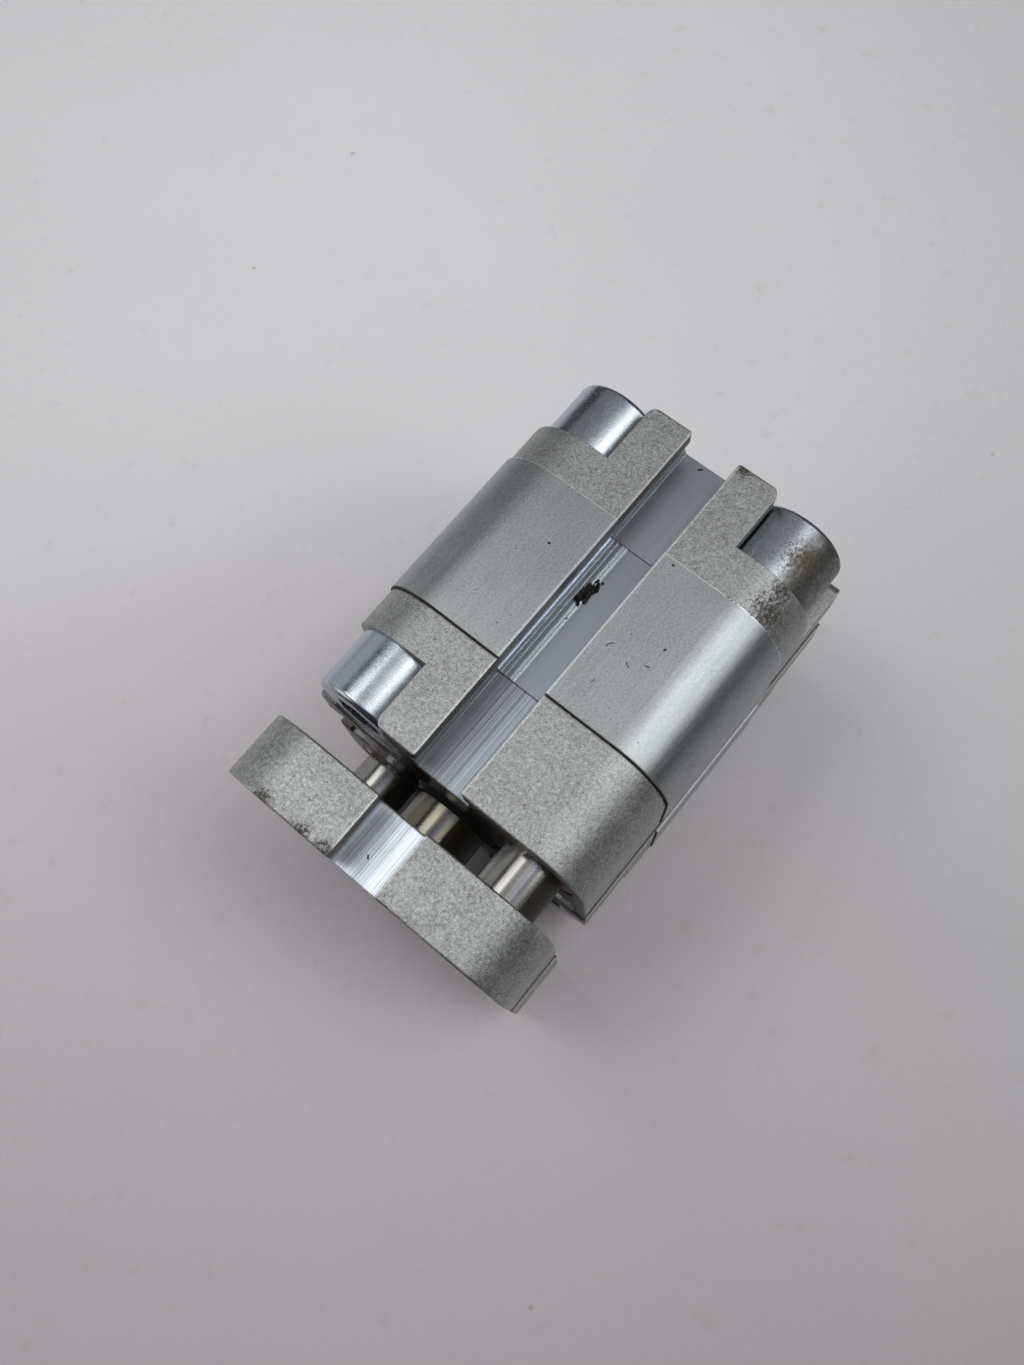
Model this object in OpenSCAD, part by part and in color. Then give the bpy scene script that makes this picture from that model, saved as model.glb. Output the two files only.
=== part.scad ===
// Compact guided pneumatic cylinder, retracted.
// +X runs along the stroke towards the guide plate, +Z is up.
// The origin is the centre of the rear mounting face, on the piston axis.

/* [Body] */
// Width and height of the square barrel
body_w = 41; // [40:0.5:50]
// Corner radius of the barrel
corner_r = 8; // [6:0.5:9]
// Length of each end cap
cap_len = 14.2; // [14:0.1:20]
// How far the cap and plate sides lie below the barrel sides
cap_inset = 0.2; // [0.1:0.05:0.4]
// Rounding of the outer end edges of caps and plate
edge_r = 0.3; // [0.2:0.1:0.8]
// Rounding of the front cap's edge at the barrel
seam_edge_r = 0.3; // [0:0.1:0.5]
// Distance between neighbouring corner screws
screw_pitch = 26; // [25:0.5:28]

/* [Cylinder] */
// Bore of the barrel
bore_d = 25; // [20:0.5:26]
// Stroke of the piston
stroke = 10; // [5:1:40]
// Thickness of the whole piston
piston_t = 6.5; // [6:0.1:12]
// Length of each cap's spigot inside the barrel
spigot_len = 2.2; // [2:0.1:3]
// Free space between piston and spigot at each end of the stroke
end_gap = 0.1; // [0.06:0.02:0.3]
// Diameter of the piston rod
rod_d = 10; // [8:0.5:12]

/* [T-slots] */
// Width of a slot's opening
slot_open = 6.6; // [5:0.1:7]
// Width of a slot behind its lips
slot_wide = 8.4; // [8:0.1:9]
// Thickness of the lips
slot_lip = 2; // [1.5:0.1:2.4]
// Depth of the slots from the barrel side
slot_depth = 5.7; // [5:0.1:6]
// Width of the flat floor
slot_floor = 7.4; // [6.6:0.1:8]
// Height of the fine ribs on the barrel's slot floor
rib_h = 0.18; // [0.1:0.02:0.3]

/* [Collar screws] */
// Diameter of the cylindrical head
head_d = 12.4; // [11:0.1:13]
// Length of the head
head_len = 8.4; // [7:0.1:9]
// How far the head ends below the cap's end face
head_sink = 0.3; // [0.1:0.1:1]
// Gap between the head and its pocket
head_gap = 0.3; // [0.2:0.1:0.5]
// Distance from the screw axis back to the straight pocket wall
pocket_back = 3.95; // [3.5:0.05:4.5]
// Diameter of the plain shank
shank_d = 8; // [7:0.1:8.4]
// Diameter of the screwed end in the barrel
thread_d = 7.1; // [6:0.1:7.4]
// Length of the screwed end in the barrel
thread_len = 7; // [5:0.5:8]
// Radius of the mounting thread inside a rear head
head_thread_r = 2.5; // [2:0.1:2.7]
// Depth of that thread from the head's end
head_thread_len = 11; // [9:0.5:13]

/* [Guide plate] */
// Thickness of the plate
plate_t = 8.5; // [8:0.1:14]
// Gap between front cap and plate when retracted
rest_gap = 5.3; // [3:0.1:10]
// Diameter of the guide rods
guide_d = 8; // [6:0.5:9.6]
// Length of the guide bushes
guide_bush_len = 12; // [8:0.5:13]
// Wall of the guide bushes
guide_bush_wall = 1.4; // [1:0.1:1.5]
// How deep the rods sit in the plate
rod_seat = 1.2; // [0.8:0.1:2]
// Distance between neighbouring threaded holes in the plate
plate_thread_pitch = 14; // [13:0.5:15]
// Radius of the threads in the plate
plate_thread_r = 2; // [1.2:0.1:2]

/* [Ports and centring] */
// Radius of the supply port threads
port_r = 2.5; // [1.6:0.1:2.5]
// Distance of each supply port from its cap's outer face
port_place = 11; // [10.9:0.1:11.4]
// Radius of the centring bore in the rear face
centring_r = 6; // [4:0.5:7]
// Depth of the centring bore
centring_depth = 2.1; // [1.5:0.1:2.5]

/* [Hidden] */
$fn = 96;

// Clearances shared by all pieces
fit_gap = 0.04;
run_gap = 0.03;
over = 1;

// Places along the stroke
barrel_len = piston_t + stroke + 2 * spigot_len + 2 * end_gap;
body_len = 2 * cap_len + barrel_len;
plate_x = body_len + rest_gap;
piston_x = cap_len + spigot_len + end_gap;
pocket_len = head_sink + head_len;

// Places across the stroke
screw_c = screw_pitch / 2;
cap_w = body_w - 2 * cap_inset;
pocket_c = screw_c - pocket_back;
bore_r = bore_d / 2;
rod_r = rod_d / 2;
guide_r = guide_d / 2;
head_r = head_d / 2;

// Spigot, from its outside inwards: O-ring groove, cushion groove, air cavity
spigot_r = bore_r - 0.05;
o_ring_r = 0.6;
o_ring_groove_w = 1.3;
o_ring_groove_r = bore_r - 1.3;
cushion_out_r = o_ring_groove_r - 0.6;
cushion_w = 1.6;
cushion_t = 1.2;
cushion_proud = 0.04;
cavity_r = cushion_out_r - cushion_w - 0.7;
cavity_end = 8;
channel_r = thread_d / 2 + fit_gap;
guide_channel_r = guide_r + 0.3;

// Rod guidance in the front cap, measured back from its outer face
wiper_len = 1.8;
wiper_wall = 2.6;
seal_len = 2.2;
seal_wall = 2.4;
rod_bush_wall = 1.5;
guide_web = 0.3;
seal_start = wiper_len + guide_web;
rod_bush_start = seal_start + seal_len + guide_web;
rod_bush_len = 3.6;
rod_bush_end = rod_bush_start + rod_bush_len;
front_cavity_end = rod_bush_end + 0.2;
wiper_lip = 0.5;

// Piston parts, measured from the piston's rear face
disc_t = 2.6;
disc_r = bore_r - 0.25;
piston_groove_w = 1.5;
piston_groove_depth = 1.7;
piston_groove_place = 0.55;
hub_r = 6;
magnet_r = bore_r - 1.5;
band_w = 1.2;
band_wall = magnet_r + 0.05;
rod_spigot_r = 3;
nut_flats = 10;
nut_t = 3.2;
nut_end = 0.5;

// Rods and their screws
rod_thread_r = 2.55;
rod_thread_depth = 12;
plate_screw_head_r = 4.25;
plate_screw_head_t = 5;
plate_screw_flats = 4;
plate_screw_len = 11;
guide_thread_r = 2.05;
guide_thread_depth = 11;
guide_screw_head_r = 3.5;
guide_screw_head_t = 4;
guide_screw_flats = 3;
guide_screw_len = 10;
counterbore_gap = 0.25;
counterbore_extra = 0.2;
guide_tail = cap_len + thread_len + 2.5;

// Screw socket and edge sizes
socket_flats = 6;
socket_depth = 4;
head_edge_r = 0.6;
ear_pocket_r = 1.3;
lip_end_r = 0.5;
rib_w = 0.28;
rib_places = [-3.55, -2.95, -2.05, -1.6];
slot_corner = 1.4;

// Corners as [side in Y, side in Z]
upper_left = [-1, 1];
upper_right = [1, 1];
lower_left = [-1, -1];
lower_right = [1, -1];
all_corners = [upper_left, upper_right, lower_left, lower_right];
front_screw_corners = [upper_left, lower_right];
guide_corners = [upper_right, lower_left];

// ---------- shared shapes ----------

// Extrudes an outline of [y, z] along +X
module along_x(x, len) {
    translate([x, 0, 0]) rotate([90, 0, 90]) linear_extrude(len) children();
}

// Revolves a profile of [radius, x] round the line parallel to +X
module turned(x, c = [0, 0]) {
    translate([x, c[0], c[1]]) rotate([90, 0, 90]) rotate_extrude() children();
}

// Puts its children at a corner screw's axis
module at_corner(c, x = 0) {
    translate([x, c[0] * screw_c, c[1] * screw_c]) children();
}

// Round bar along +X
module bar(r, len) {
    rotate([0, 90, 0]) cylinder(r = r, h = len);
}

// Six-sided bar along +X, with its size across the flats
module hex_bar(flats, len) {
    rotate([0, 90, 0]) cylinder(r = flats / 2 / cos(30), h = len, $fn = 6);
}

// What lies outside a rounded corner; s is the direction in which the corner points
module corner_waste(p, s, r) {
    translate([p[0] - s[0] * r, p[1] - s[1] * r]) difference() {
        translate([s[0] > 0 ? 0 : -r - over, s[1] > 0 ? 0 : -r - over]) square(r + over);
        circle(r = r);
    }
}

// Turned profile of a bar with both outer edges rounded
module bar_profile(r, len, e0, e1) {
    difference() {
        square([r, len]);
        if (e0 > 0) corner_waste([r, 0], [1, -1], e0);
        if (e1 > 0) corner_waste([r, len], [1, 1], e1);
    }
}

// Turned profile of a ring
module ring_profile(r0, r1, len) {
    translate([r0, 0]) square([r1 - r0, len]);
}

// Square outline with round corners
module rounded_square(w, r) {
    square([w, w - 2 * r], center = true);
    square([w - 2 * r, w], center = true);
    for (c = all_corners) translate(c * (w / 2 - r)) circle(r = r);
}

// Block with a rounded square outline and rounded end edges, from x = 0 to len
module rounded_block(len, w, r, e0, e1) {
    half = w / 2 - r;
    for (a = [0, 90]) rotate([a, 0, 0]) translate([0, half, 0]) rotate([90, 0, 0])
        linear_extrude(2 * half) difference() {
            translate([0, -w / 2]) square([len, w]);
            for (s = [-1, 1]) {
                if (e0 > 0) corner_waste([0, s * w / 2], [-1, s], e0);
                if (e1 > 0) corner_waste([len, s * w / 2], [1, s], e1);
            }
        }
    for (i = [0:3]) rotate([90 * i, 0, 0]) translate([0, half, half]) rotate([90, 0, 90])
        rotate_extrude(angle = 90) bar_profile(r, len, e0, e1);
}

// Outline of the upper T-slot, seen along the stroke
module slot_outline() {
    face = body_w / 2;
    polygon([
        [-slot_open / 2, face + over], [-slot_open / 2, face - slot_lip],
        [-slot_wide / 2, face - slot_lip], [-slot_wide / 2, face - slot_depth + slot_corner],
        [-slot_floor / 2, face - slot_depth], [slot_floor / 2, face - slot_depth],
        [slot_wide / 2, face - slot_depth + slot_corner], [slot_wide / 2, face - slot_lip],
        [slot_open / 2, face - slot_lip], [slot_open / 2, face + over]
    ]);
}

// The same outline with fine ribs standing on its floor
module ribbed_slot_outline() {
    difference() {
        slot_outline();
        for (y = rib_places)
            translate([y - rib_w / 2, body_w / 2 - slot_depth - over]) square([rib_w, over + rib_h]);
    }
}

// Repeats an outline on all four sides
module four_sides() {
    for (a = [0:90:270]) rotate(a) children();
}

// Cuts the four T-slots through a cap or the plate
module slots(len) {
    along_x(-over, len + 2 * over) four_sides() slot_outline();
}

// ---------- housing ----------

module barrel() {
    color("gainsboro") difference() {
        along_x(cap_len, barrel_len) difference() {
            rounded_square(body_w, corner_r);
            four_sides() ribbed_slot_outline();
            circle(r = bore_r);
            for (c = all_corners) translate(c * screw_c) circle(r = channel_r);
        }
        for (c = guide_corners) at_corner(c, cap_len + thread_len + 0.5)
            bar(guide_channel_r, barrel_len);
    }
}

// Pocket round a collar screw's head, open to two sides and to the outer face at x = 0
module head_pocket(c) {
    at_corner(c, -over) bar(head_r + head_gap, pocket_len + over);
    translate([-over, min(c[0] * pocket_c, c[0] * body_w), min(c[1] * pocket_c, c[1] * body_w)])
        cube([pocket_len + over, body_w - pocket_c, body_w - pocket_c]);
}

// Rounds the outer end of the upper ear on one side of the slot, towards a pocket
module ear_pocket_rounding(side) {
    translate([0, 0, screw_c + head_r - 1.2]) linear_extrude(body_w)
        corner_waste([0, side * pocket_c], [-1, side], ear_pocket_r);
}

// The two ears beside one corner's pocket
module ear_pocket_roundings(c) {
    rotate([c[1] > 0 ? 0 : 180, 0, 0]) ear_pocket_rounding(c[0] * c[1]);
    rotate([-90 * c[0], 0, 0]) ear_pocket_rounding(-c[0] * c[1]);
}

// Rounds the lips of all four slots where they end at x; dir is -1 at a rear end and 1 at a front end
module lip_roundings(x, dir) {
    for (a = [0:90:270], s = [-1, 1]) rotate([a, 0, 0])
        translate([0, 0, body_w / 2 - slot_lip - over / 2]) linear_extrude(body_w)
            corner_waste([x, s * slot_open / 2], [dir, -s], lip_end_r);
}

// Shape shared by both caps: outer face at x = 0, spigot at the far end
module cap_shape(corners, cavity_start, seam_r) {
    difference() {
        union() {
            rounded_block(cap_len, cap_w, corner_r, edge_r, seam_r);
            translate([cap_len - over, 0, 0]) bar(spigot_r, spigot_len + over);
        }
        slots(cap_len);
        for (c = corners) {
            head_pocket(c);
            at_corner(c) bar(shank_d / 2 + fit_gap, cap_len + over);
            ear_pocket_roundings(c);
        }
        lip_roundings(0, -1);
        turned(cap_len + spigot_len / 2 - o_ring_groove_w / 2)
            ring_profile(o_ring_groove_r, bore_r + over, o_ring_groove_w);
        turned(cap_len + spigot_len - cushion_t)
            ring_profile(cushion_out_r - cushion_w, cushion_out_r, cushion_t + over);
        translate([cavity_start, 0, 0]) bar(cavity_r, cap_len);
        translate([port_place, 0, 0]) rotate([90, 0, 0]) cylinder(r = port_r, h = body_w);
    }
}

// Puts a shape measured from a cap's outer face at the front end
module from_front() {
    translate([body_len, 0, 0]) mirror([1, 0, 0]) children();
}

module rear_cap() {
    color("silver") difference() {
        cap_shape(all_corners, cavity_end, 0);
        translate([-over, 0, 0]) bar(centring_r, centring_depth + over);
    }
}

module front_cap() {
    color("silver") from_front() difference() {
        cap_shape(front_screw_corners, front_cavity_end, seam_edge_r);
        translate([-over, 0, 0]) bar(rod_r + 0.3, cap_len);
        translate([-over, 0, 0]) bar(rod_r + wiper_wall, wiper_len + over);
        translate([seal_start, 0, 0]) bar(rod_r + seal_wall, seal_len);
        translate([rod_bush_start, 0, 0]) bar(rod_r + rod_bush_wall, cap_len - rod_bush_start);
        for (c = guide_corners) {
            at_corner(c, -over) bar(guide_r + guide_bush_wall + fit_gap, guide_bush_len + over);
            at_corner(c, -over) bar(guide_channel_r, cap_len + 2 * over);
        }
    }
}

// Collar screw with its outer end at x = 0; the rear ones are threaded inside as well
module collar_screw(threaded) {
    tip = cap_len - head_sink + thread_len;
    difference() {
        union() {
            turned(0) bar_profile(head_r, head_len, head_edge_r, 0);
            translate([head_len - over, 0, 0]) bar(shank_d / 2, cap_len - head_sink - head_len + over);
            translate([head_len, 0, 0]) bar(thread_d / 2, tip - head_len);
        }
        translate([-over, 0, 0]) hex_bar(socket_flats, socket_depth + over);
        if (threaded) bar(head_thread_r, head_thread_len);
    }
}

module rear_screw(c) {
    color("lightsteelblue") at_corner(c, head_sink) collar_screw(true);
}

module front_screw(c) {
    color("lightsteelblue") from_front() at_corner(c, head_sink) collar_screw(false);
}

module rear_screw_upper_left() rear_screw(upper_left);
module rear_screw_upper_right() rear_screw(upper_right);
module rear_screw_lower_left() rear_screw(lower_left);
module rear_screw_lower_right() rear_screw(lower_right);
module front_screw_upper_left() front_screw(upper_left);
module front_screw_lower_right() front_screw(lower_right);

module o_ring() {
    turned(cap_len + spigot_len / 2) translate([bore_r - 0.05 - o_ring_r, 0]) circle(r = o_ring_r);
}

module rear_o_ring() {
    color("dimgray") o_ring();
}

module front_o_ring() {
    color("dimgray") from_front() o_ring();
}

module cushion_ring() {
    turned(cap_len + spigot_len - cushion_t + fit_gap)
        ring_profile(cushion_out_r - cushion_w + fit_gap, cushion_out_r - fit_gap, cushion_t - fit_gap + cushion_proud);
}

module rear_cushion_ring() {
    color("darkolivegreen") cushion_ring();
}

module front_cushion_ring() {
    color("darkolivegreen") from_front() cushion_ring();
}

module rod_bush() {
    color("darkgoldenrod") from_front() turned(rod_bush_start + fit_gap)
        ring_profile(rod_r + run_gap, rod_r + rod_bush_wall - fit_gap, rod_bush_len);
}

// Lip seal: a ring with a groove in its pressure side
module rod_seal() {
    color("darkgreen") from_front() turned(seal_start + fit_gap) difference() {
        ring_profile(rod_r + run_gap, rod_r + seal_wall - fit_gap, seal_len - 2 * fit_gap);
        polygon([
            [rod_r + 0.8, seal_len], [rod_r + 1.1, seal_len / 2],
            [rod_r + 1.4, seal_len / 2], [rod_r + 1.7, seal_len]
        ]);
    }
}

// Wiper with a slanting lip that stands out of the cap
module rod_wiper() {
    color("dimgray") from_front() turned(0) polygon([
        [rod_r + run_gap, -wiper_lip], [rod_r + 0.5, -wiper_lip], [rod_r + 1.1, 0.2],
        [rod_r + wiper_wall - fit_gap, 0.2], [rod_r + wiper_wall - fit_gap, wiper_len - fit_gap],
        [rod_r + 0.6, wiper_len - fit_gap]
    ]);
}

module guide_bush(c) {
    color("peru") from_front() at_corner(c) difference() {
        turned(0.1) bar_profile(guide_r + guide_bush_wall, guide_bush_len - 0.1, 0.3, 0.3);
        translate([-over, 0, 0]) bar(guide_r + run_gap, guide_bush_len + 2 * over);
    }
}

module guide_bush_upper_right() guide_bush(upper_right);
module guide_bush_lower_left() guide_bush(lower_left);

// ---------- piston ----------

// Puts a shape measured from the piston's rear face in place
module on_piston() {
    translate([piston_x, 0, 0]) children();
}

// Puts the mirror image of a rear piston part at the piston's front face
module on_piston_front() {
    translate([piston_x + piston_t, 0, 0]) mirror([1, 0, 0]) children();
}

module piston_disc() {
    difference() {
        turned(0) bar_profile(disc_r, disc_t, 0.2, 0.2);
        turned(piston_groove_place) ring_profile(disc_r - piston_groove_depth, disc_r + over, piston_groove_w);
        translate([-over, 0, 0]) bar(rod_spigot_r + fit_gap, piston_t + 2 * over);
    }
}

module rear_piston_disc() {
    color("darkgray") on_piston() piston_disc();
}

// The front disc carries the hub that the magnet sits on
module front_piston_disc() {
    color("darkgray") difference() {
        union() {
            on_piston_front() piston_disc();
            on_piston() translate([disc_t + fit_gap, 0, 0]) bar(hub_r, piston_t - disc_t - 2 * fit_gap);
        }
        on_piston() bar(rod_spigot_r + fit_gap, piston_t + over);
    }
}

// Lip seal whose lip runs on the bore
module piston_seal() {
    inner = disc_r - piston_groove_depth + fit_gap;
    start = piston_groove_place + fit_gap;
    lip_w = piston_groove_w - 2 * fit_gap;
    turned(start) polygon([
        [inner, 0], [disc_r - 0.4, 0], [bore_r - run_gap, 0.1], [bore_r - run_gap, 0.4],
        [disc_r - 0.5, lip_w], [inner, lip_w]
    ]);
}

module rear_piston_seal() {
    color("darkgreen") on_piston() piston_seal();
}

module front_piston_seal() {
    color("darkgreen") on_piston_front() piston_seal();
}

module magnet_ring() {
    color("slategray") on_piston() turned(disc_t + fit_gap)
        ring_profile(hub_r + fit_gap, magnet_r, piston_t - 2 * disc_t - 2 * fit_gap);
}

module piston_guide_band() {
    color("linen") on_piston() turned(piston_t / 2 - band_w / 2) ring_profile(band_wall, bore_r - run_gap, band_w);
}

module piston_nut() {
    color("lightsteelblue") on_piston() translate([-nut_t, 0, 0]) difference() {
        hex_bar(nut_flats, nut_t);
        translate([-over, 0, 0]) bar(rod_spigot_r + fit_gap, nut_t + 2 * over);
    }
}

// ---------- rods and plate ----------

module piston_rod() {
    front = plate_x + rod_seat - fit_gap;
    rear = piston_x + piston_t;
    color("lightgray") difference() {
        union() {
            translate([rear, 0, 0]) bar(rod_r, front - rear);
            translate([piston_x - nut_t - nut_end, 0, 0]) bar(rod_spigot_r, nut_t + nut_end + piston_t + over);
        }
        translate([front - rod_thread_depth, 0, 0]) bar(rod_thread_r, rod_thread_depth + over);
    }
}

module guide_rod(c) {
    front = plate_x + rod_seat - fit_gap;
    color("lightgray") at_corner(c) difference() {
        turned(guide_tail) bar_profile(guide_r, front - guide_tail, 0.5, 0);
        translate([front - guide_thread_depth, 0, 0]) bar(guide_thread_r, guide_thread_depth + over);
    }
}

module guide_rod_upper_right() guide_rod(upper_right);
module guide_rod_lower_left() guide_rod(lower_left);

// Through hole with a counterbore from the front face and a seat for a rod at the rear face
module rod_fixing(seat_r, hole_r, head_r, head_t) {
    translate([-over, 0, 0]) bar(hole_r, plate_t + 2 * over);
    translate([-over, 0, 0]) bar(seat_r + fit_gap, rod_seat + over);
    translate([plate_t - head_t - counterbore_extra, 0, 0]) bar(head_r + counterbore_gap, head_t + over);
}

module guide_plate() {
    p = plate_thread_pitch / 2;
    color("gainsboro") translate([plate_x, 0, 0]) difference() {
        rounded_block(plate_t, cap_w, corner_r, edge_r, edge_r);
        slots(plate_t);
        lip_roundings(0, -1);
        lip_roundings(plate_t, 1);
        rod_fixing(rod_r, rod_thread_r, plate_screw_head_r, plate_screw_head_t);
        for (c = guide_corners) at_corner(c)
            rod_fixing(guide_r, guide_thread_r, guide_screw_head_r, guide_screw_head_t);
        for (c = all_corners) translate([-over, c[0] * p, c[1] * p]) bar(plate_thread_r, plate_t + 2 * over);
    }
}

// Socket head screw with its head's outer face at x = 0 and its tip towards -X
module socket_screw(r, head_r, head_t, flats, len) {
    difference() {
        union() {
            turned(-head_t) bar_profile(head_r, head_t, 0, 0.3);
            translate([-head_t - len, 0, 0]) bar(r, len + over);
        }
        translate([-head_t / 2, 0, 0]) hex_bar(flats, head_t);
    }
}

module plate_screw() {
    color("dimgray") translate([plate_x + plate_t - counterbore_extra + fit_gap, 0, 0])
        socket_screw(rod_thread_r - fit_gap, plate_screw_head_r, plate_screw_head_t,
            plate_screw_flats, plate_screw_len);
}

module guide_rod_screw(c) {
    color("dimgray") at_corner(c, plate_x + plate_t - counterbore_extra + fit_gap)
        socket_screw(guide_thread_r - fit_gap, guide_screw_head_r, guide_screw_head_t,
            guide_screw_flats, guide_screw_len);
}

module guide_rod_screw_upper_right() guide_rod_screw(upper_right);
module guide_rod_screw_lower_left() guide_rod_screw(lower_left);

barrel();
rear_cap();
front_cap();
rear_screw_upper_left();
rear_screw_upper_right();
rear_screw_lower_left();
rear_screw_lower_right();
front_screw_upper_left();
front_screw_lower_right();
rear_o_ring();
front_o_ring();
rear_cushion_ring();
front_cushion_ring();
rod_bush();
rod_seal();
rod_wiper();
guide_bush_upper_right();
guide_bush_lower_left();
rear_piston_disc();
front_piston_disc();
rear_piston_seal();
front_piston_seal();
magnet_ring();
piston_guide_band();
piston_nut();
piston_rod();
guide_rod_upper_right();
guide_rod_lower_left();
guide_plate();
plate_screw();
guide_rod_screw_upper_right();
guide_rod_screw_lower_left();
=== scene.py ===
import math

import bpy
import numpy as np
from bpy.props import FloatProperty, FloatVectorProperty, IntProperty, PointerProperty
from mathutils import Matrix, Vector


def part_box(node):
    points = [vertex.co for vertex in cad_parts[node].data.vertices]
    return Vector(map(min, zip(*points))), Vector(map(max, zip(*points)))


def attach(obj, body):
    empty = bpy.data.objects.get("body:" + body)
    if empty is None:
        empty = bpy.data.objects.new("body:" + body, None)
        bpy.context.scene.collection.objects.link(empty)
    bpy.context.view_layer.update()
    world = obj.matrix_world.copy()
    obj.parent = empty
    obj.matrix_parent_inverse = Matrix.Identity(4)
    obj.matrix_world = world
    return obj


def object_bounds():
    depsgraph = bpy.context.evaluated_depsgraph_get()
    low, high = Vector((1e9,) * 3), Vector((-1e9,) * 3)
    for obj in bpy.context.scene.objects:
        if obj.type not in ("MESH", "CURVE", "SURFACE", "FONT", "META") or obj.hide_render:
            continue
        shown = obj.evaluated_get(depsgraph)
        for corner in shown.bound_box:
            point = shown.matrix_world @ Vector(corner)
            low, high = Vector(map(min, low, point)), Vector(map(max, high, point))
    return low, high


bl_info = {
    "name": "Guided Compact Cylinder Looks",
    "version": (1, 0, 0),
    "blender": (4, 5, 0),
    "location": "3D View > Sidebar > Cylinder",
    "description": "Finishes, small pieces and studio for a guided compact cylinder",
    "category": "Object",
}

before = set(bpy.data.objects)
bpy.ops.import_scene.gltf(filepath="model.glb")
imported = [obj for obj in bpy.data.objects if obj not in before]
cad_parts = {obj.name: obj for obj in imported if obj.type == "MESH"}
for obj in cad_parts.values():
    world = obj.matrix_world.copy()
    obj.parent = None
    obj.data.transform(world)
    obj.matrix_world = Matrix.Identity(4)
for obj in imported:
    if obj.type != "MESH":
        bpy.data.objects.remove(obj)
CAD_LOW, CAD_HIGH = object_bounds()

MM = 0.001
PER_MM = 1000.0
HOUSING = "housing"
PISTON = "piston_assembly"

REAR_SCREWS = (
    "rear_screw_upper_left",
    "rear_screw_upper_right",
    "rear_screw_lower_left",
    "rear_screw_lower_right",
)
FRONT_SCREWS = ("front_screw_upper_left", "front_screw_lower_right")
GUIDE_RODS = ("guide_rod_upper_right", "guide_rod_lower_left")

# The slots' section in millimetres: their floors' distance from the part's middle line, and half widths
SLOT_FLOOR = 14.8
SLOT_HALF_OPENING = 3.3
SLOT_HALF_WIDTH = 4.2
LIP_THICKNESS = 2.0


def low(node):
    """Lowest corner of a CAD node in millimetres."""
    return np.array(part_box(node)[0]) * PER_MM


def high(node):
    """Highest corner of a CAD node in millimetres."""
    return np.array(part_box(node)[1]) * PER_MM


def middle(node):
    """Middle of a CAD node's box in millimetres."""
    return (low(node) + high(node)) / 2


CAP_SIDE = float(high("rear_cap")[2])


# ---------------------------------------------------------------- settings


def length(name, text, default):
    """A property in millimetres."""
    return FloatProperty(name=name, description=text, default=default, min=0.0)


def share(name, text, default):
    """A property from nothing to all."""
    return FloatProperty(
        name=name, description=text, default=default, min=0.0, max=1.0, subtype="FACTOR"
    )


def colour(name, text, default):
    """A linear colour property."""
    return FloatVectorProperty(
        name=name, description=text, default=default, size=3, min=0.0, max=1.0, subtype="COLOR"
    )


def angle(name, text, degrees):
    """An angle property given in degrees."""
    return FloatProperty(
        name=name, description=text, default=math.radians(degrees), subtype="ANGLE", unit="ROTATION"
    )


class MetalSettings(bpy.types.PropertyGroup):
    """Colours and grain of the metals."""

    blasted: colour("Blasted aluminium", "Colour of the two caps and the plate", (0.392, 0.403, 0.402))
    extruded: colour("Extruded aluminium", "Colour of the barrel", (0.385, 0.410, 0.418))
    milled: colour("Slot floor", "Colour of the bare slot floors", (0.40, 0.435, 0.48))
    zinc: colour("Zinc", "Colour of the collar screws", (0.47, 0.52, 0.57))
    steel: colour("Ground steel", "Colour of the rods", (0.46, 0.45, 0.44))
    black: colour("Black oxide", "Colour of the plate's screws", (0.035, 0.034, 0.036))
    bronze: colour("Bronze", "Colour of the bearing bushes", (0.50, 0.33, 0.17))
    grit_size: length("Grit", "Size of the blasted grain in millimetres", 0.36)
    streak_size: length("Streak", "Width of the drawn grain in millimetres", 0.09)
    edge_radius: length("Edge", "Radius that the light sees on sharp edges in millimetres", 0.14)


class SoftSettings(bpy.types.PropertyGroup):
    """Colours of the seals and polymer rings."""

    polyurethane: colour("Polyurethane", "Colour of the lip seals and cushions", (0.05, 0.16, 0.13))
    nitrile: colour("Nitrile", "Colour of the rubber rings", (0.018, 0.018, 0.019))
    band: colour("Guide band", "Colour of the piston's guide band", (0.16, 0.085, 0.04))
    magnet: colour("Magnet", "Colour of the magnet ring", (0.035, 0.034, 0.033))


class GrimeSettings(bpy.types.PropertyGroup):
    """Dirt, oil and grease. Their colours also paint shade in corners, hollows and gaps, and on the +Y sides
    of rods and a screw head.
    """

    # The dust colour also paints the shade in inner corners and in the hollows behind the slots' lips
    dust: colour("Dust", "Colour of the dry dirt", (0.085, 0.060, 0.030))
    # The grease colour also paints shade on end faces in the gap, and on the +Y sides of the rods and of a
    # screw head
    grease: colour("Grease", "Colour of the old grease", (0.024, 0.019, 0.010))
    crumb: colour("Crumb", "Colour of the black crumbs", (0.012, 0.011, 0.011))
    amount: share("Amount", "How dirty the part is", 0.9)
    lump: length("Lump", "Length of the crumbly lump in the slot in millimetres", 2.3)


class ThreadSettings(bpy.types.PropertyGroup):
    """The threads cut in the holes."""

    head_pitch: length("Head thread pitch", "Pitch in the rear heads and ports in millimetres", 0.8)
    plate_pitch: length("Plate thread pitch", "Pitch in the plate in millimetres", 0.7)
    depth_share: share("Depth", "Depth of the thread as a share of its pitch", 0.54)
    steps_round: IntProperty(
        name="Steps round", description="Points round a thread", default=48, min=12
    )
    steps_per_turn: IntProperty(
        name="Steps per turn", description="Points along one pitch", default=8, min=4
    )


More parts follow.
